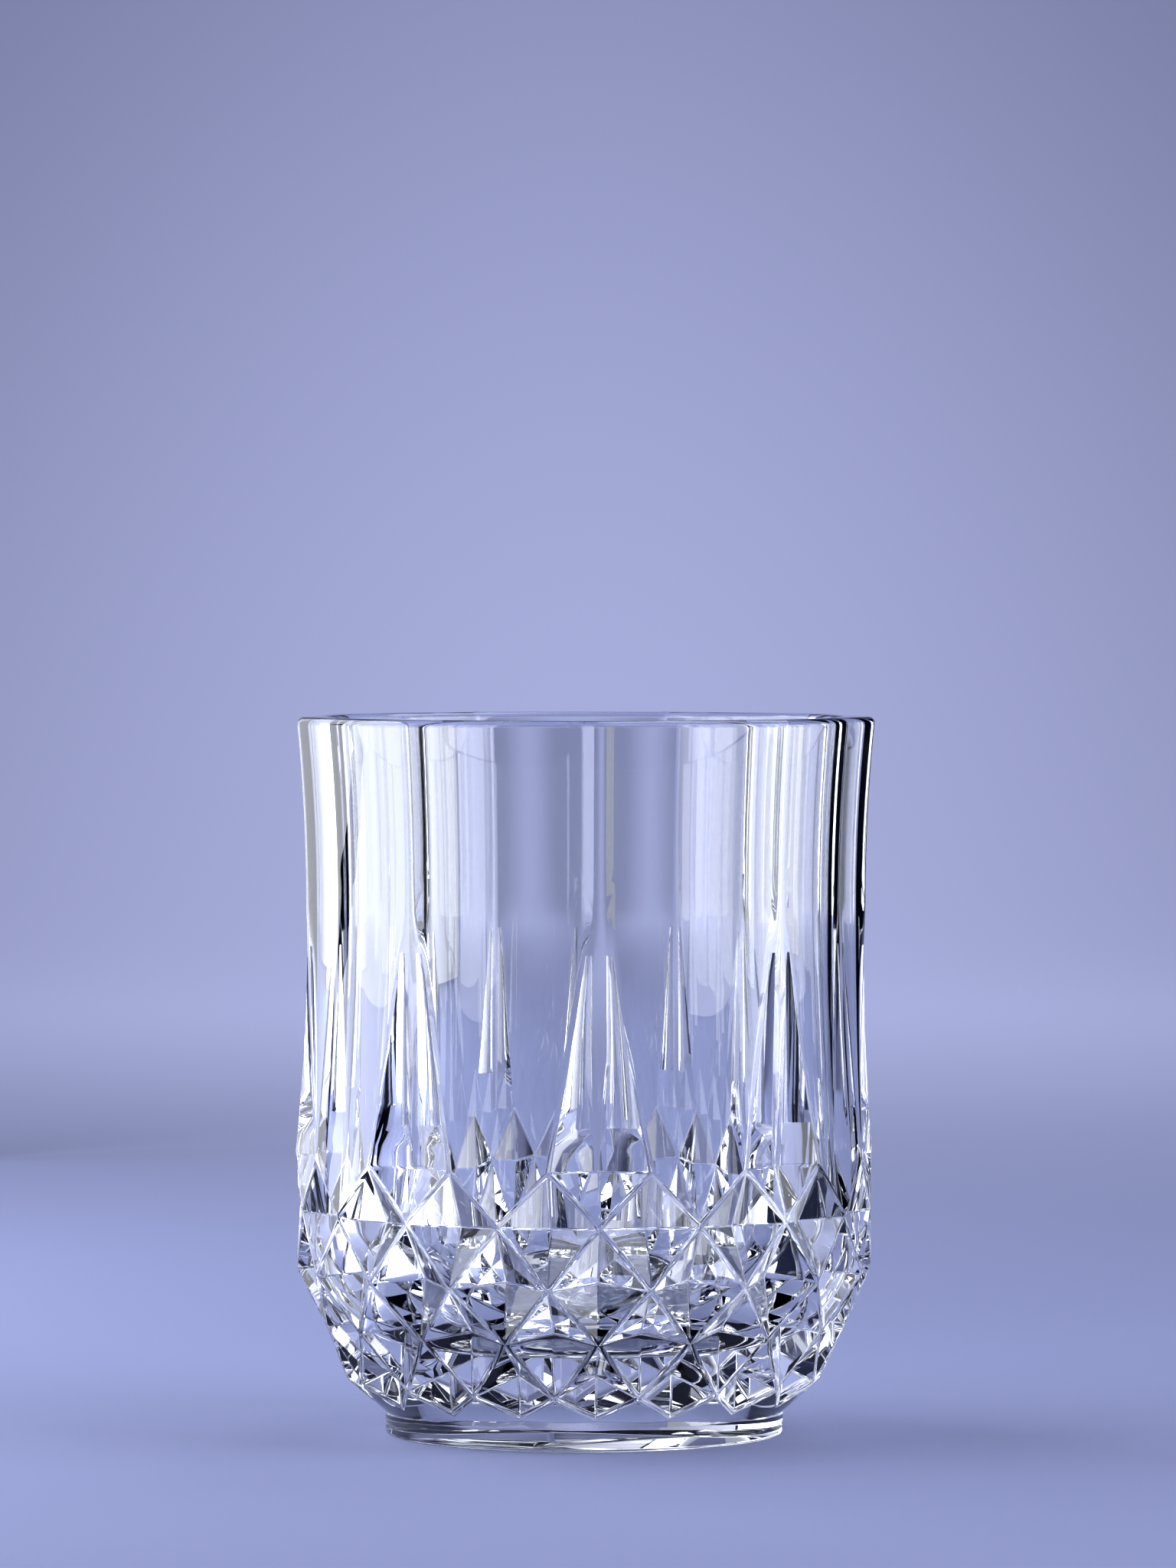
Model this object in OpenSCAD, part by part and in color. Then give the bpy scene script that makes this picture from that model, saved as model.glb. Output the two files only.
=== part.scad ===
// Whiskey tumbler in clear pressed glass, made as one solid piece.
//
// The upper wall has nine flat panels with softly rounded corners between them.
// A tall spike is cut into every corner. Below the spikes the wall carries a lattice
// of raised ridges around sunk diamonds, which tucks in over a shoulder to a plain
// round foot. The bowl inside is smooth and round.
//
// Origin: the middle of the resting face, +Z up. A spike faces -Y.

/* [Overall size] */
// Height from the resting face to the top of the lip
glass_h = 95; // [79:0.5:114]
// Width across the flat panels at the lip
lip_flats = 73.1; // [71:0.1:88]
// Width across the flat panels at the waist
waist_flats = 70.7; // [59:0.1:73]
// Height of the waist, where the panels are narrowest
waist_h = 70; // [60:0.5:74]

/* [Lattice band] */
// Number of panels round the glass, each with one spike beside it
sides = 9; // [8:1:10]
// Diameter across the lattice points of the straight band
band_d = 76.7; // [70:0.1:92]
// Height of the top row of points, level with the foot of each spike
top_row_h = 37.2; // [35:0.1:44]
// Height of the second row of points, where the panels end in a V
second_row_h = 30; // [27:0.1:33]
// Height of the row of points where the band turns in towards the foot
band_low_h = 21.9; // [19:0.1:25]
// Depth of a sunk diamond below its four corners
pit_depth = 3.2; // [0.8:0.1:3.8]

/* [Shoulder and foot] */
// Diameter across the row of points where the shoulder turns in more steeply
shoulder_d = 63.5; // [58:0.1:70]
// Height of that row of points
shoulder_h = 7.4; // [6.4:0.1:9]
// Height of the lowest tips of the lattice
tip_h = 4.75; // [4.2:0.05:5.6]
// Diameter of the foot
foot_d = 52.8; // [44:0.1:56]
// Height of the foot
foot_h = 3.15; // [2.2:0.05:3.8]
// Width of the fine ledge between the lattice and the foot
foot_ledge = 0.2; // [0.15:0.05:0.5]
// Radius on the lower edge of the foot
foot_edge_r = 0.5; // [0.2:0.1:1]
// Width of the ring the glass stands on, from the hollow to the side of the foot
foot_rim = 4.9; // [2:0.1:9]
// Depth of the hollow under the foot
hollow_depth = 1.2; // [0.6:0.1:1.8]

/* [Spikes and corners] */
// Height of the upper tip of a spike
spike_tip_h = 70.5; // [58:0.5:75]
// Depth of a spike at its foot, below the lattice points
spike_depth = 2.35; // [1:0.05:2.8]
// Radius on the upright corners between the panels
corner_r = 3; // [1.5:0.1:4]

/* [Bowl] */
// Wall from the bowl to the waist or to pit_depth inside the band, whichever is nearer
wall = 2.6; // [2:0.1:3.2]
// Height of the floor of the bowl above the resting face
bowl_floor_h = 12; // [8.5:0.5:18]
// Radius between the floor of the bowl and its wall
bowl_corner_r = 15; // [6:0.5:20]
// Radius on the inner and outer edges of the lip
lip_r = 0.9; // [0.4:0.1:0.95]

/* [Hidden] */

// A column of points stands at each quarter of a sector, so that every other column
// carries the points of one lattice row and the rest those of the next.
columns = 4 * sides;
sector = 360 / sides;
half_sector = sector / 2;
step = sector / 4;

band_r = band_d / 2;
mid_row_h = (band_low_h + shoulder_h) / 2;
rows = [foot_h, tip_h, shoulder_h, mid_row_h, band_low_h, second_row_h, top_row_h];
top_row = len(rows) - 1;

// Panels: how fast they flare below the waist and above it
flare_power = 1.6;
lip_power = 2;

// Levels between the top row of points and the lip
spike_levels = 8;
neck_levels = 8;
lip_levels = 3;
lip_top_angle = 75;

bowl_levels = 8;
arc_step = 7.5;
cut_over = 1;
smooth = 96;

// Radius of the lattice points at height z
function outline_r(z) = lookup(z, [
    [foot_h, foot_d / 2 + foot_ledge],
    [shoulder_h, shoulder_d / 2],
    [band_low_h, band_r],
    [top_row_h, band_r]
]);

// Distance from the axis to the flat panels at height z
function panel_r(z) =
    let (waist_r = waist_flats / 2)
    z > waist_h
        ? waist_r + (lip_flats / 2 - waist_r) * pow((z - waist_h) / (glass_h - waist_h), lip_power)
        : waist_r + (band_r * cos(step) - waist_r)
            * pow((waist_h - z) / (waist_h - top_row_h), flare_power);

// Radius and height of the middle of a sunk diamond, from its lower, side and upper corners
function pit(low, side, high) =
    let (
        lean = atan2(outline_r(high) - outline_r(low), high - low),
        middle_r = (outline_r(low) + outline_r(high)) / 4 + outline_r(side) * cos(step) / 2,
        middle_h = (low + high) / 4 + side / 2
    )
    [middle_r - pit_depth * cos(lean), middle_h + pit_depth * sin(lean)];

// Angle of a column, with the edges of a spike standing at edge_angle from its middle
function column_angle(j, edge_angle) =
    let (place = j % 4, start = floor(j / 4) * sector)
    place == 0 ? start
        : place == 1 ? start + edge_angle
        : place == 2 ? start + half_sector
        : start + sector - edge_angle;

// A point at radius r and height z, with its angle counted from -Y towards +X
function at(r, angle, z) = [r * sin(angle), -r * cos(angle), z];

// Radius and height of one lattice point, or of the middle of a sunk diamond
function lattice_point(i, j) =
    i == top_row && j % 4 == 0 ? [band_r - spike_depth, top_row_h]
        : i == top_row && j % 4 == 2 ? [panel_r(top_row_h), top_row_h]
        : i < 2 || (i + j) % 2 == 1 ? [outline_r(rows[i]), rows[i]]
        : pit(rows[i - 1], rows[i], rows[i + 1]);

function lattice_ring(i) = [
    for (j = [0 : columns - 1])
        let (p = lattice_point(i, j))
        at(p[0], j * step, p[1])
];

// Radius of a rounded corner, and angle at which its rounding meets the panel,
// where the panels stand at distance p and the rounding has the radius f
function crest_r(p, f) = (p - f) / cos(half_sector) + f;
function round_angle(p, f) =
    atan2(f * sin(half_sector), (p - f) / cos(half_sector) + f * cos(half_sector));

// Share of the way down a spike, 0 at its tip and 1 at its foot
function spike_share(z) = max(0, (spike_tip_h - z) / (spike_tip_h - top_row_h));

// One ring of the upper wall, drawn in by inset where the lip rounds over
function upper_ring(z, inset) =
    let (
        p = panel_r(z) - inset,
        f = corner_r - inset,
        share = spike_share(z),
        tip_r = crest_r(panel_r(spike_tip_h), corner_r),
        middle_r = share > 0 ? tip_r + (band_r - spike_depth - tip_r) * share : crest_r(p, f),
        edge_angle = round_angle(p, f) * (1 - share) + step * share,
        edge_r = p / cos(half_sector - edge_angle),
        radii = [middle_r, edge_r, p, edge_r]
    )
    [for (j = [0 : columns - 1]) at(radii[j % 4], column_angle(j, edge_angle), z)];

lip_start_h = glass_h - lip_r;
upper_rings = concat(
    [for (n = [1 : spike_levels])
        upper_ring(top_row_h + (spike_tip_h - top_row_h) * n / spike_levels, 0)],
    [for (n = [1 : neck_levels])
        upper_ring(spike_tip_h + (lip_start_h - spike_tip_h) * n / neck_levels, 0)],
    [for (n = [1 : lip_levels])
        let (a = lip_top_angle * n / lip_levels)
        upper_ring(lip_start_h + lip_r * sin(a), lip_r * (1 - cos(a)))],
    [upper_ring(glass_h, lip_r)]
);
rings = concat([for (i = [0 : top_row]) lattice_ring(i)], upper_rings);

// The two triangles between columns j and j + 1, and rings k and k + 1. The ridge
// between them joins the lattice point on one ring to the one on the next.
function wall_faces(k, j) =
    let (
        next = (j + 1) % columns,
        low_left = k * columns + j,
        low_right = k * columns + next,
        high_left = low_left + columns,
        high_right = low_right + columns,
        ridge_rises = (min(k, top_row) + j) % 2 == 1
    )
    ridge_rises
        ? [[low_left, high_left, high_right], [low_left, high_right, low_right]]
        : [[low_left, high_left, low_right], [low_right, high_left, high_right]];

module outer_body() {
    last = len(rings) - 1;
    polyhedron(
        points = [for (ring = rings) each ring],
        faces = concat(
            [[for (j = [0 : columns - 1]) j]],
            [for (k = [0 : last - 1], j = [0 : columns - 1]) each wall_faces(k, j)],
            [[for (j = [columns - 1 : -1 : 0]) last * columns + j]]
        )
    );
}

// Half outline of the foot, with a shallow domed hollow underneath
module foot() {
    half = foot_d / 2 - foot_rim;
    dome_r = (half * half + hollow_depth * hollow_depth) / (2 * hollow_depth);
    dome_steps = 8;
    edge_x = foot_d / 2 - foot_edge_r;
    rotate_extrude($fn = smooth)
        polygon(concat(
            [for (n = [0 : dome_steps])
                let (x = half * n / dome_steps)
                [x, hollow_depth - dome_r + sqrt(dome_r * dome_r - x * x)]],
            [for (a = [-90 : 15 : 0])
                [edge_x + foot_edge_r * cos(a), foot_edge_r + foot_edge_r * sin(a)]],
            [[foot_d / 2, foot_h + cut_over], [0, foot_h + cut_over]]
        ));
}

// Half outline of the bowl: a rounded floor, an upright wall to the waist, and a flare
// that keeps the wall's thickness up to the rounded mouth
module bowl() {
    low_r = min(waist_flats / 2, band_r - pit_depth) - wall;
    corner_x = low_r - bowl_corner_r;
    corner_z = bowl_floor_h + bowl_corner_r;
    mouth_x = low_r + panel_r(lip_start_h) - waist_flats / 2 + lip_r;
    rotate_extrude($fn = smooth)
        polygon(concat(
            [[0, bowl_floor_h]],
            [for (a = [-90 : arc_step : 0])
                [corner_x + bowl_corner_r * cos(a), corner_z + bowl_corner_r * sin(a)]],
            [for (n = [0 : bowl_levels - 1])
                let (z = waist_h + (lip_start_h - waist_h) * n / bowl_levels)
                [low_r + panel_r(z) - waist_flats / 2, z]],
            [for (a = [180 : -15 : 90])
                [mouth_x + lip_r * cos(a), lip_start_h + lip_r * sin(a)]],
            [[mouth_x, glass_h + cut_over], [0, glass_h + cut_over]]
        ));
}

module glass_body() {
    color("lavender", 0.5)
        difference() {
            union() {
                outer_body();
                foot();
            }
            bowl();
        }
}

glass_body();
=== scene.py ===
# %% [markdown]
# # A pressed-glass whiskey tumbler
# The real thing is one piece of clear glass. Molten glass is dropped in an iron mould,
# a round plunger presses the bowl into it, and a flame then melts the skin of the warm
# glass just enough to make it bright and every edge a little round. So this lesson
# raises the mould's shape with sharp edges first, rounds the edges as the flame does,
# and then cuts the plunger's shape out of the middle.

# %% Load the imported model
import math
import bmesh
import bpy
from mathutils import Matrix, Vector


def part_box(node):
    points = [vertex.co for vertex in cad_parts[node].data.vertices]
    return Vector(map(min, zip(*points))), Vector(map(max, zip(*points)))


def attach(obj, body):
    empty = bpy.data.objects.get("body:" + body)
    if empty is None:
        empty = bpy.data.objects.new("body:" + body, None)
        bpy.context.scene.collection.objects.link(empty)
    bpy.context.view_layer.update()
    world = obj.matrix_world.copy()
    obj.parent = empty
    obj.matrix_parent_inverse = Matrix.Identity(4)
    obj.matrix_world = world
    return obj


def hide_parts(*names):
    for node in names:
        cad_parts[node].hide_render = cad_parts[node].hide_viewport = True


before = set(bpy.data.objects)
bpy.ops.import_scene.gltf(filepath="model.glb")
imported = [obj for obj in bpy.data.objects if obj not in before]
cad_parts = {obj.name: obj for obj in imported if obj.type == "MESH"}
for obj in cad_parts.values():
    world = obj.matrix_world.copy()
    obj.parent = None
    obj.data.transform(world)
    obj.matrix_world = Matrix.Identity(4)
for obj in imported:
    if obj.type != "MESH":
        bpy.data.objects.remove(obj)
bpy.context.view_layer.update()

# %% [markdown]
# Blender counts in metres, and a glass is easier to think of in millimetres. The height
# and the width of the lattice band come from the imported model. The other sizes are those
# of the mould, in millimetres, with heights counted up from the table.

# %% The sizes of the mould
MM = 0.001
NODE = "glass_body"
low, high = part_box(NODE)
GLASS_H = (high[2] - low[2]) / MM
BAND_R = (high[0] - low[0]) / 2 / MM
SIDES = 9
LIP_FLAT_R, WAIST_FLAT_R, WAIST_H = 36.55, 35.35, 70.0
TIP_H, SHOULDER_H, BAND_LOW_H, SECOND_ROW_H, TOP_ROW_H = 4.75, 7.4, 21.9, 30.0, 37.2
SHOULDER_R, PIT_DEPTH = 31.75, 3.2
FOOT_R, FOOT_H, FOOT_LEDGE, FOOT_EDGE_R = 26.4, 3.15, 0.2, 0.5
HOLLOW_R, HOLLOW_DEPTH = 21.5, 1.2
SPIKE_TIP_H, SPIKE_DEPTH = 70.5, 2.35
BOWL_R, FLOOR_H, BOWL_CORNER_R, LIP_R = 32.55, 12.0, 15.0, 0.9
MID_ROW_H = (BAND_LOW_H + SHOULDER_H) / 2
ROWS = [FOOT_H, TIP_H, SHOULDER_H, MID_ROW_H, BAND_LOW_H, SECOND_ROW_H, TOP_ROW_H]
COLUMNS = 4 * SIDES
STEP = math.tau / COLUMNS
CORNER = math.pi / SIDES
print(COLUMNS, "columns,", len(ROWS), "rows, height", round(GLASS_H, 2), "band", round(BAND_R, 2))

# %% [markdown]
# Two outlines give the shape of the mould. One runs through the lattice points, from the
# foot over the shoulder and up the straight band. The other is the distance from the axis
# to the flat panels, which are narrowest at the waist and flare both up and down.

# %% The outlines
FLARE_POWER, LIP_POWER = 1.6, 2.0
OUTLINE = [(FOOT_H, FOOT_R + FOOT_LEDGE), (SHOULDER_H, SHOULDER_R), (BAND_LOW_H, BAND_R),
           (TOP_ROW_H, BAND_R)]


def outline_r(z):
    """Radius of the lattice points at height z."""
    for (z0, r0), (z1, r1) in zip(OUTLINE, OUTLINE[1:]):
        if z <= z1:
            return r0 + (r1 - r0) * (z - z0) / (z1 - z0)
    return BAND_R


def panel_r(z):
    """Distance from the axis to the flat panels at height z."""
    if z > WAIST_H:
        share = ((z - WAIST_H) / (GLASS_H - WAIST_H)) ** LIP_POWER
        return WAIST_FLAT_R + (LIP_FLAT_R - WAIST_FLAT_R) * share
    share = ((WAIST_H - z) / (WAIST_H - TOP_ROW_H)) ** FLARE_POWER
    return WAIST_FLAT_R + (BAND_R * math.cos(STEP) - WAIST_FLAT_R) * share


def pit(under, side, over):
    """Radius and height of the bottom of a sunk diamond, from the heights of its corners."""
    lean = math.atan2(outline_r(over) - outline_r(under), over - under)
    middle_r = (outline_r(under) + outline_r(over)) / 4 + outline_r(side) * math.cos(STEP) / 2
    middle_h = (under + over) / 4 + side / 2
    return middle_r - PIT_DEPTH * math.cos(lean), middle_h + PIT_DEPTH * math.sin(lean)


print("The middle row of diamonds is sunk to r, z =", [round(x, 1) for x in pit(*ROWS[3:6])])

# %% [markdown]
# Every round form here is raised the same way. A drum is added at its size and place, and
# its top face is extruded upwards again and again, each new ring scaled about the axis.
# Points are picked by their place, counted in columns round the axis.

# %% Small modelling helpers


def add_drum(name, sides, r, z_low, z_high):
    """A cylinder on the axis, left in edit mode with its top face picked."""
    bpy.ops.object.select_all(action="DESELECT")
    bpy.ops.mesh.primitive_cylinder_add(
        vertices=sides, radius=r * MM, depth=(z_high - z_low) * MM,
        location=(0, 0, (z_low + z_high) / 2 * MM))
    bpy.ops.object.transform_apply(location=True)
    piece = bpy.context.object
    piece.name = piece.data.name = name
    bpy.ops.object.mode_set(mode="EDIT")
    pick_faces(lambda face: face.calc_center_median().z > (z_high - 0.001) * MM)
    return piece


def pick(kind, mode, test):
    """Pick the points, edges or faces that pass a test, and nothing else."""
    bpy.ops.mesh.select_mode(type=mode)
    bpy.ops.mesh.select_all(action="DESELECT")
    data = bpy.context.object.data
    mesh = bmesh.from_edit_mesh(data)
    picked = [item for item in getattr(mesh, kind) if test(item)]
    for item in picked:
        item.select = True
    mesh.select_flush_mode()
    bmesh.update_edit_mesh(data)
    return len(picked)


def pick_points(test):
    """Pick the points that pass a test."""
    return pick("verts", "VERT", test)


def pick_edges(test):
    """Pick the edges that pass a test."""
    return pick("edges", "EDGE", test)


def pick_faces(test):
    """Pick the faces that pass a test."""
    return pick("faces", "FACE", test)


def scale_round(share):
    """Scale what is picked towards the axis or away from it, and leave its height."""
    bpy.ops.transform.resize(value=(share, share, 1), center_override=(0, 0, 0))


def next_ring(r, z, old_r, old_z):
    """Extrude the picked top face up to height z, and scale it to radius r."""
    bpy.ops.mesh.extrude_region_move(TRANSFORM_OT_translate={"value": (0, 0, (z - old_z) * MM)})
    scale_round(r / old_r)


def raise_outline(name, sides, outline):
    """A round form from a list of (radius, height), from its flat bottom to its flat top."""
    (r, z), (next_r, next_z) = outline[:2]
    piece = add_drum(name, sides, r, z, next_z)
    scale_round(next_r / r)
    for (r, z), (next_r, next_z) in zip(outline[1:], outline[2:]):
        next_ring(next_r, next_z, r, z)
    return piece


def column_of(point):
    """Which column a point stands in, counted from -Y towards +X."""
    return round(math.atan2(point.co.x, -point.co.y) / STEP) % COLUMNS


def on_ring(point, z):
    """Whether a point stands at height z."""
    return abs(point.co.z - z * MM) < 1e-6


def apply_modifier(piece, kind, **settings):
    """Add a modifier with its settings and apply it."""
    modifier = piece.modifiers.new(kind.title(), kind)
    for name, value in settings.items():
        setattr(modifier, name, value)
    bpy.context.view_layer.objects.active = piece
    bpy.ops.object.modifier_apply(modifier=modifier.name)
    print(piece.name, "after", kind.lower(), "has", len(piece.data.polygons), "faces")


# %% [markdown]
# The mould is raised as a plain turned shape first, in thirty-six columns: four to each
# of the nine sides. Rings stand at the rows of the lattice, and then closely enough up
# the panels to make their long curve smooth. The last rings round the lip over.

# %% Raise the plain shape
SPIKE_RINGS, NECK_RINGS, LIP_RINGS, LIP_ANGLE = 12, 8, 4, math.radians(80)
LIP_START_H = GLASS_H - LIP_R
upper = [(TOP_ROW_H + (SPIKE_TIP_H - TOP_ROW_H) * n / SPIKE_RINGS, 0.0)
         for n in range(1, SPIKE_RINGS + 1)]
upper += [(SPIKE_TIP_H + (LIP_START_H - SPIKE_TIP_H) * n / NECK_RINGS, 0.0)
          for n in range(1, NECK_RINGS + 1)]
upper += [(LIP_START_H + LIP_R * math.sin(LIP_ANGLE * n / LIP_RINGS),
           LIP_R * (1 - math.cos(LIP_ANGLE * n / LIP_RINGS))) for n in range(1, LIP_RINGS + 1)]
upper += [(GLASS_H, LIP_R)]
plain = [(outline_r(z), z) for z in ROWS] + [(panel_r(z) - inset, z) for z, inset in upper]
tumbler = raise_outline("tumbler_glass", COLUMNS, plain)
print("The plain shape has", len(plain), "rings of", COLUMNS, "points")

# %% [markdown]
# Now the middle of every diamond is pushed in. A lattice point stays out on every second
# column, and it moves over by one column from row to row. The rest are the middles.

# %% Push in the diamonds
for i in range(2, 6):
    deep_r, deep_z = pit(ROWS[i - 1], ROWS[i], ROWS[i + 1])
    count = pick_points(lambda p: on_ring(p, ROWS[i]) and (i + column_of(p)) % 2 == 0)
    scale_round(deep_r / outline_r(ROWS[i]))
    bpy.ops.transform.translate(value=(0, 0, (deep_z - ROWS[i]) * MM))
    print("Row", i, "has", count, "sunk diamonds")

# %% [markdown]
# Above the lattice, the four columns of each side become the middle of a spike or corner,
# its two edges, and the middle of a flat panel. The edges close in on the middle on the
# way up, until they meet the rounding of the corner at the tip of the spike. Above the
# tip they only lie in the flat panel, a little apart, and show nowhere.

# %% Shape the spikes and the panels
TIP_HALF, NECK_HALF, NECK_SPREAD_H = 1.33, 2.6, 6


def shape_columns(z, wanted, start_r, r, turn=0.0):
    """Scale the wanted columns of a ring to radius r, and turn them round the axis."""
    pick_points(lambda p: on_ring(p, z) and column_of(p) % 4 in wanted)
    scale_round(r / start_r)
    if turn:
        bpy.ops.transform.rotate(value=-turn, orient_axis="Z", center_override=(0, 0, 0))


def edge_half(z):
    """Half the width between the two edge columns at height z."""
    if z > SPIKE_TIP_H:
        share = min(1, (z - SPIKE_TIP_H) / NECK_SPREAD_H)
        return TIP_HALF + (NECK_HALF - TIP_HALF) * share
    share = (SPIKE_TIP_H - z) / (SPIKE_TIP_H - TOP_ROW_H)
    return TIP_HALF + (BAND_R * math.sin(STEP) - TIP_HALF) * share


shape_columns(TOP_ROW_H, {0}, BAND_R, BAND_R - SPIKE_DEPTH)
shape_columns(TOP_ROW_H, {2}, BAND_R, panel_r(TOP_ROW_H))
tip_r = panel_r(SPIKE_TIP_H) / math.cos(CORNER)
for z, inset in upper:
    flat_r = panel_r(z) - inset
    share = max(0, (SPIKE_TIP_H - z) / (SPIKE_TIP_H - TOP_ROW_H))
    middle_r = flat_r / math.cos(CORNER)
    if share:
        middle_r = tip_r + (BAND_R - SPIKE_DEPTH - tip_r) * share
    turned = math.asin(edge_half(z) / BAND_R)
    edge_r = flat_r / math.cos(CORNER - turned)
    shape_columns(z, {0}, flat_r, middle_r)
    shape_columns(z, {1}, flat_r, edge_r, turned - STEP)
    shape_columns(z, {3}, flat_r, edge_r, STEP - turned)
print("Shaped", len(upper), "rings into", SIDES, "spikes and panels")

# %% [markdown]
# The ridges of the lattice run from point to point across the four-cornered faces. Each
# face has two lattice points, so picking them all and joining them draws every ridge.

# %% Draw the ridges


def is_lattice_point(p):
    """Whether a point is one of those that stay out, from the tips to the top row."""
    row = [i for i in range(1, len(ROWS)) if on_ring(p, ROWS[i])]
    return bool(row) and (row[0] + column_of(p)) % 2 == 1


count = pick_points(is_lattice_point)
bpy.ops.mesh.vert_connect()
bpy.ops.object.mode_set(mode="OBJECT")
print(count, "lattice points,", len(tumbler.data.edges), "edges")

# %% [markdown]
# The flame rounds every edge, some more than others: the upright corners are the softest,
# the ridges are finer, and the creases between facets are nearly sharp. Each edge gets a
# width of its own for one bevel, and its kind is told by where its two ends stand.

# %% Round the edges
CORNER_ROUND, RIDGE_ROUND, SPIKE_ROUND, CREASE_ROUND = 0.95, 0.55, 0.42, 0.2
RING_HEIGHTS = [z for r, z in plain]
TOP_ROW = len(ROWS) - 1


def row_of(point):
    """Number of the ring a point stands on, or -1 for the middle of a diamond."""
    rings = [n for n, z in enumerate(RING_HEIGHTS) if on_ring(point, z)]
    return rings[0] if rings else -1


def aside_of(point):
    """Distance of a point from the middle of its spike, measured along the wall, in mm."""
    turn = math.atan2(point.co.x, -point.co.y)
    off = turn - round(turn / (2 * CORNER)) * 2 * CORNER
    return abs(point.co.to_2d().length * math.sin(off)) / MM


def place_of(point):
    """Column of a point. Above the diamonds the columns lean, so its place on the wall tells."""
    turn = math.atan2(point.co.x, -point.co.y)
    if row_of(point) < TOP_ROW:
        return round(turn / STEP) % COLUMNS
    side = round(turn / (2 * CORNER))
    hand = 1 if turn > side * 2 * CORNER else -1
    off = aside_of(point)
    if off < 0.1:
        return 4 * side % COLUMNS
    if off > BAND_R * math.sin(1.5 * STEP):
        return (4 * side + 2 * hand) % COLUMNS
    return (4 * side + hand) % COLUMNS


def weigh_edges(kind, width, test):
    """Give each edge that passes a test its share of the widest bevel."""

    def fits(edge):
        under, over = sorted(edge.verts, key=lambda p: p.co.z)
        j0, j1 = place_of(under), place_of(over)
        return test(row_of(under), row_of(over), j0, j1, j0 == j1)

    count = pick_edges(fits)
    bpy.ops.transform.edge_bevelweight(value=width / CORNER_ROUND)
    print(count, kind, "rounded by", width, "mm")


def points_out(row, column):
    """Whether the point at this row and column is a lattice point."""
    return 1 <= row <= TOP_ROW and (row + column) % 2 == 1


bpy.ops.object.mode_set(mode="EDIT")
weigh_edges("corner edges", CORNER_ROUND,
            lambda i0, i1, j0, j1, upright: upright and i0 >= TOP_ROW and j0 % 4 == 0)
weigh_edges("ridges", RIDGE_ROUND,
            lambda i0, i1, j0, j1, upright: points_out(i0, j0) and points_out(i1, j1))
weigh_edges("spike edges", SPIKE_ROUND,
            lambda i0, i1, j0, j1, upright: (upright and j0 % 2 == 1
                                             and TOP_ROW <= i0 < TOP_ROW + SPIKE_RINGS))
weigh_edges("creases in diamonds", CREASE_ROUND, lambda i0, i1, j0, j1, upright: -1 in (i0, i1))
weigh_edges("creases under spikes", CREASE_ROUND,
            lambda i0, i1, j0, j1, upright: (
                (i0, i1) == (TOP_ROW, TOP_ROW) and 2 not in (j0 % 4, j1 % 4)
                or (i0, i1) == (TOP_ROW - 1, TOP_ROW) and upright and j0 % 4 == 0))
bpy.ops.object.mode_set(mode="OBJECT")
apply_modifier(tumbler, "BEVEL", width=CORNER_ROUND * MM, segments=4, limit_method="WEIGHT",
               offset_type="OFFSET", use_clamp_overlap=False, loop_slide=True)

# %% [markdown]
# The two halves of a spike aren't flat. Each is a shallow scoop, so the corner's rounding
# runs on down between them as a low bar. The flat strip left between the roundings is cut
# in four on nine rings, and the new points are drawn in, deepest half way out. The lowest
# ring and the two nearest the tip stay as they are, so that the scoops run out there.

# %% Scoop out the halves of the spikes
SCOOP_DEPTH, SCOOP_CUTS, WIDEST_STRIP = 1.8, 3, 5.4
SCOOP_LOW_H, SCOOP_TOP_H, SCOOPED_R = TOP_ROW_H + 4, SPIKE_TIP_H - 4, 37


def strip_ends(z):
    """Where the flat of a half starts and ends between its roundings, from the middle, in mm."""
    return 0.985 * CORNER_ROUND, edge_half(z) - 1.25 * SPIKE_ROUND


def crosses_strip(edge):
    """Whether an edge runs level across the flat strip of a half."""
    z = edge.verts[0].co.z / MM
    inner, outer = sorted(aside_of(p) for p in edge.verts)
    start, end = strip_ends(z)
    return (abs(edge.verts[1].co.z / MM - z) < 0.02 and SCOOP_LOW_H < z < SCOOP_TOP_H
            and abs(inner - start) < 0.06 and abs(outer - end) < 0.06)


bpy.ops.object.mode_set(mode="EDIT")
count = pick_edges(crosses_strip)
bpy.ops.mesh.subdivide(number_cuts=SCOOP_CUTS)
scooped = [z for z, inset in upper if SCOOP_LOW_H < z < SCOOP_TOP_H]
for z in scooped:
    start, end = strip_ends(z)
    for cut in range(1, SCOOP_CUTS + 1):
        share = cut / (SCOOP_CUTS + 1)
        place = start + (end - start) * share
        pick_points(lambda p: on_ring(p, z) and abs(aside_of(p) - place) < 0.05)
        depth = SCOOP_DEPTH * 4 * share * (1 - share) * (end - start) / WIDEST_STRIP
        scale_round(1 - depth / SCOOPED_R)
bpy.ops.object.mode_set(mode="OBJECT")
print("Cut", count, "cross edges in", SCOOP_CUTS + 1, "on", len(scooped), "rings")

# %% [markdown]
# The foot is turned, not faceted: a low drum with a fine rounded lower edge and a shallow
# domed hollow under it. The plunger's shape is turned too: a rounded end, an upright side
# to the waist, and then a flare that follows the panels to the rounded mouth. The foot is
# joined on and the plunger is taken away.

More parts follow.
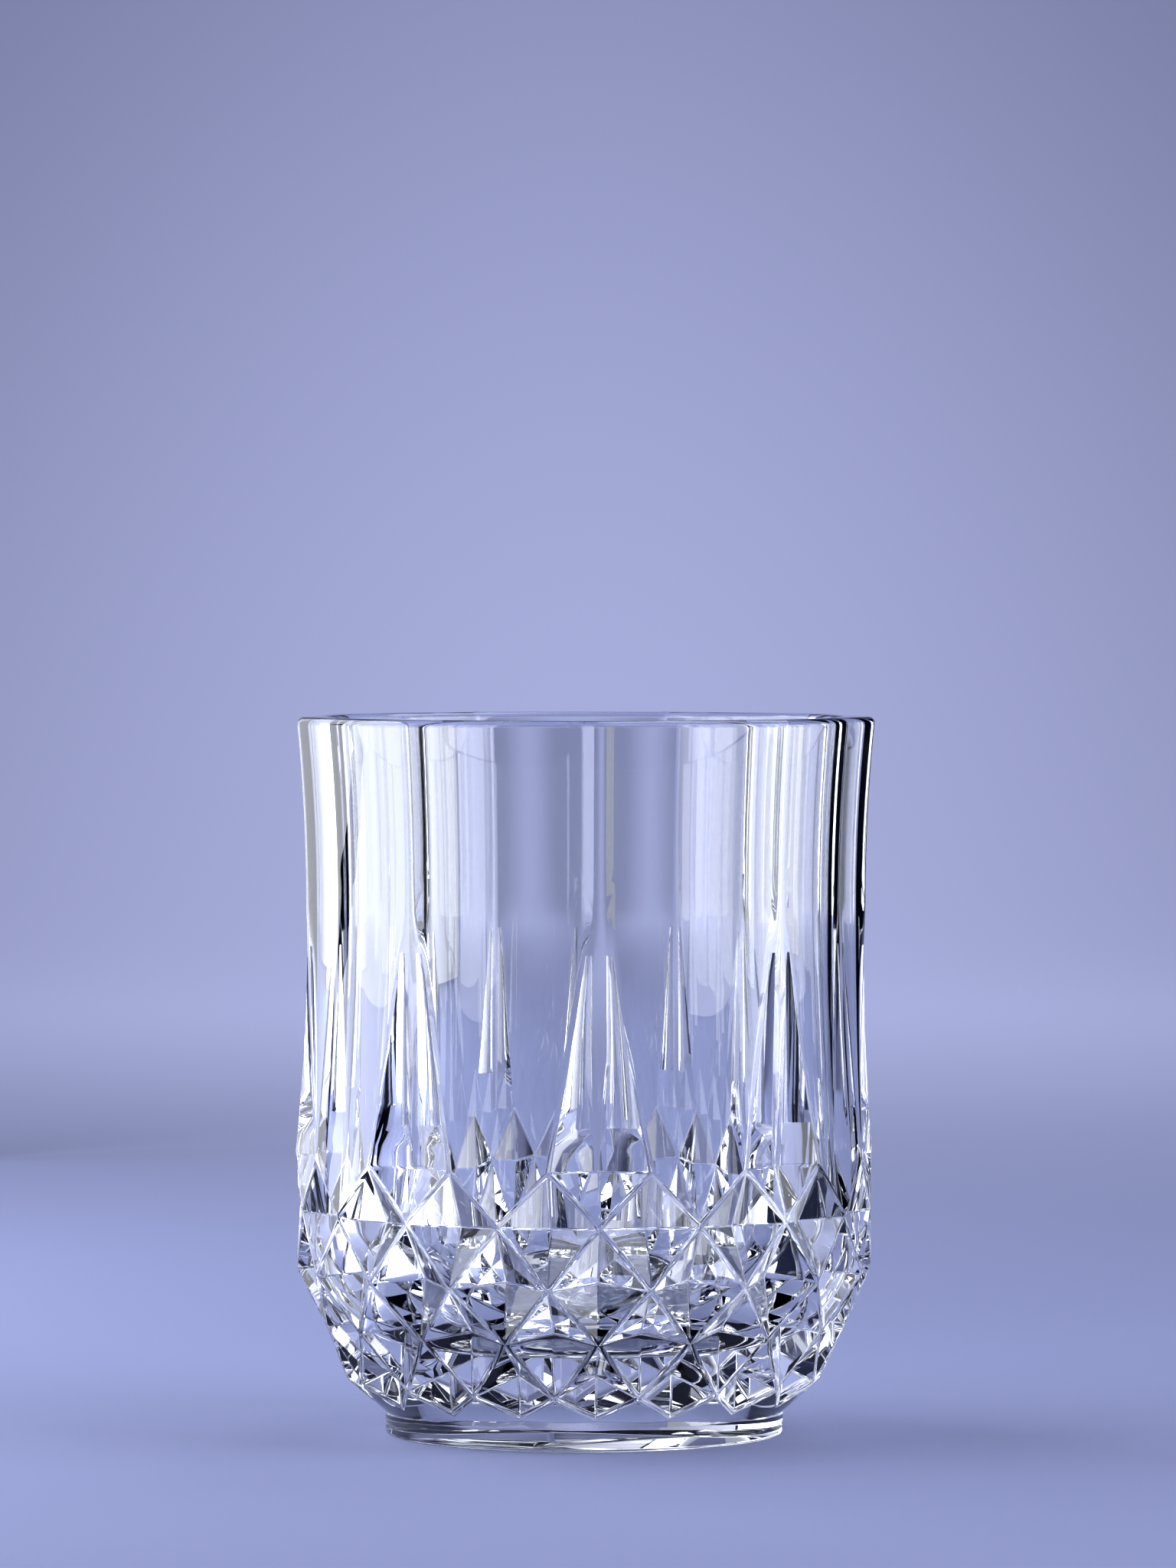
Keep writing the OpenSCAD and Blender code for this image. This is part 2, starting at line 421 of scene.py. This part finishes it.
# %% Join the foot and press the bowl
ROUND_SIDES = 180
arc = [math.radians(a) for a in range(-90, 1, 15)]
foot_outline = [(FOOT_R - FOOT_EDGE_R * (1 - math.cos(a)), FOOT_EDGE_R * (1 + math.sin(a)))
                for a in arc]
foot = raise_outline("foot", ROUND_SIDES, foot_outline + [(FOOT_R, FOOT_H + 1)])
bpy.ops.object.mode_set(mode="OBJECT")
DOME_R = (HOLLOW_R ** 2 + HOLLOW_DEPTH ** 2) / (2 * HOLLOW_DEPTH)
dome = [(HOLLOW_R * math.cos(math.radians(a)), 0.0) for a in range(0, 90, 6)]
dome = [(r, HOLLOW_DEPTH - DOME_R + math.sqrt(DOME_R ** 2 - r ** 2)) for r, z in dome]
hollow = raise_outline("hollow", ROUND_SIDES, [(HOLLOW_R + 0.01, -1.0)] + dome)
bpy.ops.object.mode_set(mode="OBJECT")
bend = [math.radians(a) for a in range(-84, 1, 6)]
side = [WAIST_H + (LIP_START_H - WAIST_H) * n / 10 for n in range(11)]
mouth_r = panel_r(LIP_START_H) - WAIST_FLAT_R + BOWL_R + LIP_R
plunger_outline = [(BOWL_R - BOWL_CORNER_R * (1 - math.cos(a)),
                    FLOOR_H + BOWL_CORNER_R * (1 + math.sin(a))) for a in bend]
plunger_outline = [(BOWL_R - BOWL_CORNER_R, FLOOR_H)] + plunger_outline
plunger_outline += [(BOWL_R + panel_r(z) - WAIST_FLAT_R, z) for z in side]
plunger_outline += [(mouth_r - LIP_R * math.cos(math.radians(a)),
                     LIP_START_H + LIP_R * math.sin(math.radians(a))) for a in range(15, 91, 15)]
plunger_outline += [(mouth_r, GLASS_H + 2)]
plunger = raise_outline("plunger", ROUND_SIDES, plunger_outline)
bpy.ops.object.mode_set(mode="OBJECT")
for cutter, operation in ((foot, "UNION"), (hollow, "DIFFERENCE"), (plunger, "DIFFERENCE")):
    apply_modifier(tumbler, "BOOLEAN", object=cutter, operation=operation, solver="EXACT")
    bpy.data.objects.remove(cutter)
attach(tumbler, "root")
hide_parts(NODE)

# %% [markdown]
# The ridges, roundings and facets each need their own shading: facets stay flat and the
# narrow roundings carry the turn from one to the next. Smooth shading with normals
# weighted by face area does that.

# %% Shade the glass
bpy.ops.object.select_all(action="DESELECT")
tumbler.select_set(True)
bpy.context.view_layer.objects.active = tumbler
bpy.ops.object.shade_smooth_by_angle(angle=math.radians(35))
apply_modifier(tumbler, "WEIGHTED_NORMAL", weight=80, keep_sharp=True)

# %% [markdown]
# The material is clear soda-lime glass, with the refractive index of common table glass.
# Pressed glass is never quite flat, so waves about 9 mm long tilt the surface a little.

# %% Make the glass material


def linear(code):
    """Turn an sRGB hex colour into Blender's linear colour."""
    parts = [int(code[i:i + 2], 16) / 255 for i in (0, 2, 4)]
    return [c / 12.92 if c <= 0.04045 else ((c + 0.055) / 1.055) ** 2.4 for c in parts] + [1]


def add_node(tree, kind, **values):
    """Add a node, setting its properties by name and its sockets by their own names."""
    node = tree.nodes.new(kind)
    for name, value in values.items():
        socket = node.inputs.get(name.replace("_", " "))
        if socket is not None:
            socket.default_value = value
        else:
            setattr(node, name, value)
    return node


glass = bpy.data.materials.new("soda_lime_glass")
glass.use_nodes = True
tree = glass.node_tree
shader = tree.nodes["Principled BSDF"]
for name, value in (("Base Color", linear("fdfeff")), ("Roughness", 0.0), ("IOR", 1.52),
                    ("Transmission Weight", 1.0)):
    shader.inputs[name].default_value = value
WAVE_MM, WAVE_HEIGHT_MM, WAVE_STRENGTH = 9, 0.02, 0.5
place = add_node(tree, "ShaderNodeTexCoord")
waves = add_node(tree, "ShaderNodeTexNoise", Scale=1 / (WAVE_MM * MM), Detail=1.0)
bump = add_node(tree, "ShaderNodeBump", Strength=WAVE_STRENGTH, Distance=WAVE_HEIGHT_MM * MM)
tree.links.new(place.outputs["Object"], waves.inputs["Vector"])
tree.links.new(waves.outputs["Fac"], bump.inputs["Height"])
tree.links.new(bump.outputs["Normal"], shader.inputs["Normal"])
tumbler.data.materials.append(glass)
print(glass.name, "has waves about", WAVE_MM, "mm long in its shading")

# %% [markdown]
# The camera looks a little down on the glass from a metre away.

# %% Place the camera
VIEW_TURN = math.radians(-3)


def placed(across, away, up):
    """A point so far to the camera's right, so far away from it past the glass, and up."""
    return Vector((across * math.cos(VIEW_TURN) - away * math.sin(VIEW_TURN),
                   across * math.sin(VIEW_TURN) + away * math.cos(VIEW_TURN), up))


def add_aimed(name, data, place, target):
    """Put a camera or light at a place, aimed at a target."""
    thing = bpy.data.objects.new(name, data)
    bpy.context.collection.objects.link(thing)
    thing.location = place
    thing.rotation_euler = (target - place).to_track_quat("-Z", "Y").to_euler()
    return thing


lens = bpy.data.cameras.new("camera")
lens.lens = 182.8
lens.clip_start, lens.clip_end = 0.05, 20
camera = add_aimed("camera", lens, placed(0.0, -1.0546, 0.1133), placed(0.0005, 0, 0.086))
bpy.context.scene.camera = camera
print("The camera stands at", [round(c, 3) for c in camera.location])

# %% [markdown]
# The stage is one seamless sweep of blue paper: a floor that curves up into a wall all
# the way round. The wall and the floor behind the glass glow softly with painted light,
# as if a lamp were aimed at them. Only a strip of the sweep is pale. Beyond it the sweep
# is painted navy, a painted shade for the dark studio, which makes the dark lines in the glass.

# %% Build the stage
SWEEP_R, SWEEP_H, SWEEP_BEND = 2.0, 1.8, 0.6
sweep_outline = [(0.02, 0.0), (0.1, 0.0), (0.4, 0.0), (SWEEP_R - SWEEP_BEND, 0.0)]
sweep_outline += [(SWEEP_R - SWEEP_BEND + SWEEP_BEND * math.sin(math.radians(a)),
                   SWEEP_BEND * (1 - math.cos(math.radians(a)))) for a in range(10, 91, 10)]
sweep_outline += [(SWEEP_R, SWEEP_H)]
bpy.ops.object.select_all(action="DESELECT")
bpy.ops.mesh.primitive_circle_add(vertices=96, radius=sweep_outline[0][0], fill_type="NGON")
sweep = bpy.context.object
sweep.name = sweep.data.name = "sweep"
bpy.ops.object.mode_set(mode="EDIT")
bpy.ops.mesh.select_mode(type="EDGE")
bpy.ops.mesh.select_all(action="SELECT")
bpy.ops.mesh.region_to_loop()
for (old_r, old_z), (r, z) in zip(sweep_outline, sweep_outline[1:]):
    bpy.ops.mesh.extrude_edges_move(TRANSFORM_OT_translate={"value": (0, 0, z - old_z)})
    scale_round(r / old_r)
bpy.ops.object.mode_set(mode="OBJECT")
bpy.ops.object.shade_smooth()


def add_ramp(tree, source, start, end, start_value=0.0, end_value=1.0):
    """A value that runs smoothly from one to another as the source goes from start to end."""
    ramp = add_node(tree, "ShaderNodeMapRange", interpolation_type="SMOOTHSTEP")
    for name, value in (("From Min", start), ("From Max", end),
                        ("To Min", start_value), ("To Max", end_value)):
        ramp.inputs[name].default_value = value
    tree.links.new(source, ramp.inputs["Value"])
    return ramp.outputs["Result"]


def add_product(tree, a, b):
    """The product of two values."""
    product = add_node(tree, "ShaderNodeMath", operation="MULTIPLY")
    tree.links.new(a, product.inputs[0])
    tree.links.new(b, product.inputs[1])
    return product.outputs[0]


paper = bpy.data.materials.new("blue_backdrop_paper_and_painted_light")
paper.use_nodes = True
tree = paper.node_tree
shader = tree.nodes["Principled BSDF"]
shader.inputs["Roughness"].default_value = 0.9
turned = add_node(tree, "ShaderNodeMapping", Rotation=(0, 0, -VIEW_TURN))
tree.links.new(add_node(tree, "ShaderNodeTexCoord").outputs["Object"], turned.inputs["Vector"])
parts = add_node(tree, "ShaderNodeSeparateXYZ")
tree.links.new(turned.outputs["Vector"], parts.inputs["Vector"])
aside = add_node(tree, "ShaderNodeMath", operation="ABSOLUTE")
tree.links.new(parts.outputs["X"], aside.inputs[0])
PALE_STRIP_HALF, GLOW_HALF = 0.7, 0.34
# Painted shade: outside the pale strip the sweep turns navy, standing in for the dark, unlit
# studio round it.
colour = add_node(tree, "ShaderNodeMix", data_type="RGBA")
colour.inputs[6].default_value = linear("939bc6")
colour.inputs[7].default_value = linear("2c3763")
tree.links.new(add_ramp(tree, aside.outputs[0], PALE_STRIP_HALF, PALE_STRIP_HALF + 0.15), colour.inputs[0])
tree.links.new(colour.outputs[2], shader.inputs["Base Color"])
# Painted light: this glow stands in for a lamp aimed at the wall and the floor behind the glass,
# strongest in the middle and low down, and fading out with the pale strip.
glow = add_product(tree, add_ramp(tree, aside.outputs[0], 0.0, GLOW_HALF, 1.0, 0.6),
                   add_ramp(tree, aside.outputs[0], PALE_STRIP_HALF, PALE_STRIP_HALF + 0.2, 1.0, 0.0))
glow = add_product(tree, glow, add_ramp(tree, parts.outputs["Y"], 0.1, 1.1))
glow = add_product(tree, glow, add_ramp(tree, parts.outputs["Z"], 0.55, 0.02, 0.45, 1.0))
shader.inputs["Emission Color"].default_value = (0.345, 0.372, 0.585, 1)
tree.links.new(glow, shader.inputs["Emission Strength"])
sweep.data.materials.append(paper)
print("The sweep is", SWEEP_R, "m round and", SWEEP_H, "m tall")

# %% [markdown]
# Soft boxes stand close round the glass on both sides. The one on the left wraps from
# beside the camera to well behind the glass. The one on the right stays in front, so the
# right side looks into the navy studio. A box overhead fills the floor on the right, and
# a lit card at the back left is brightest on its left and has no hard edge.
# Places are angles round the glass: 0 is straight behind it, and minus is to the left.

# %% Set up the lights


def around(turn, away, up):
    """A point at an angle round the glass, so far from it, and up."""
    return placed(math.sin(math.radians(turn)) * away, math.cos(math.radians(turn)) * away, up)


def add_box(name, width, height, power, place, target):
    """A soft light at a place, aimed at a target."""
    lamp = bpy.data.lights.new(name, "AREA")
    lamp.shape = "RECTANGLE"
    lamp.size, lamp.size_y = width, height
    lamp.energy = power
    lamp.color = linear("eff3ff")[:3]
    print(name, "gives", round(power, 2), "W")
    return add_aimed(name, lamp, place, target)


def add_softbox(name, turn, away, width, height, radiance):
    """An upright soft light from the floor up, facing the glass."""
    middle = height / 2 + 0.001
    return add_box(name, width, height, radiance * math.pi * width * height,
                   around(turn, away, middle), Vector((0, 0, middle)))


add_softbox("left_rear_box", -52, 0.42, 0.24, 0.45, 4.5)
add_softbox("left_side_box", -86, 0.42, 0.27, 0.45, 4.5)
add_softbox("left_front_box", -118, 0.42, 0.18, 0.45, 3.5)
add_softbox("right_box", 109, 0.42, 0.36, 0.45, 4.5)
add_box("top_box", 0.9, 0.7, 4.5, placed(0.45, 0.55, 1.1), placed(0.2, 0.25, 0))
CARD_TURN, CARD_AWAY, CARD_W, CARD_H = -24.5, 0.5, 0.19, 0.42
CARD_LEFT, CARD_RIGHT = 1.0, 0.4
bpy.ops.object.select_all(action="DESELECT")
bpy.ops.mesh.primitive_plane_add(size=1, rotation=(math.radians(90), 0, 0))
card = bpy.context.object
card.name = card.data.name = "white_card"
card.scale = (CARD_W, CARD_H, 1)
card.location = around(CARD_TURN, CARD_AWAY, CARD_H / 2 + 0.002)
card.rotation_euler = (math.radians(90), 0, VIEW_TURN - math.radians(CARD_TURN))
lit = bpy.data.materials.new("lit_white_card")
lit.use_nodes = True
tree = lit.node_tree
shader = tree.nodes["Principled BSDF"]
shader.inputs["Base Color"].default_value = linear("202540")
shader.inputs["Emission Color"].default_value = linear("e8ecff")
parts = add_node(tree, "ShaderNodeSeparateXYZ")
tree.links.new(add_node(tree, "ShaderNodeTexCoord").outputs["Generated"], parts.inputs["Vector"])
tree.links.new(add_ramp(tree, parts.outputs["X"], 0.0, 1.0, CARD_LEFT, CARD_RIGHT),
               shader.inputs["Emission Strength"])
card.data.materials.append(lit)
world = bpy.data.worlds.new("room")
bpy.context.scene.world = world
world.use_nodes = True
world.node_tree.nodes["Background"].inputs["Color"].default_value = linear("10142a")
bpy.context.scene.view_settings.view_transform = "Standard"
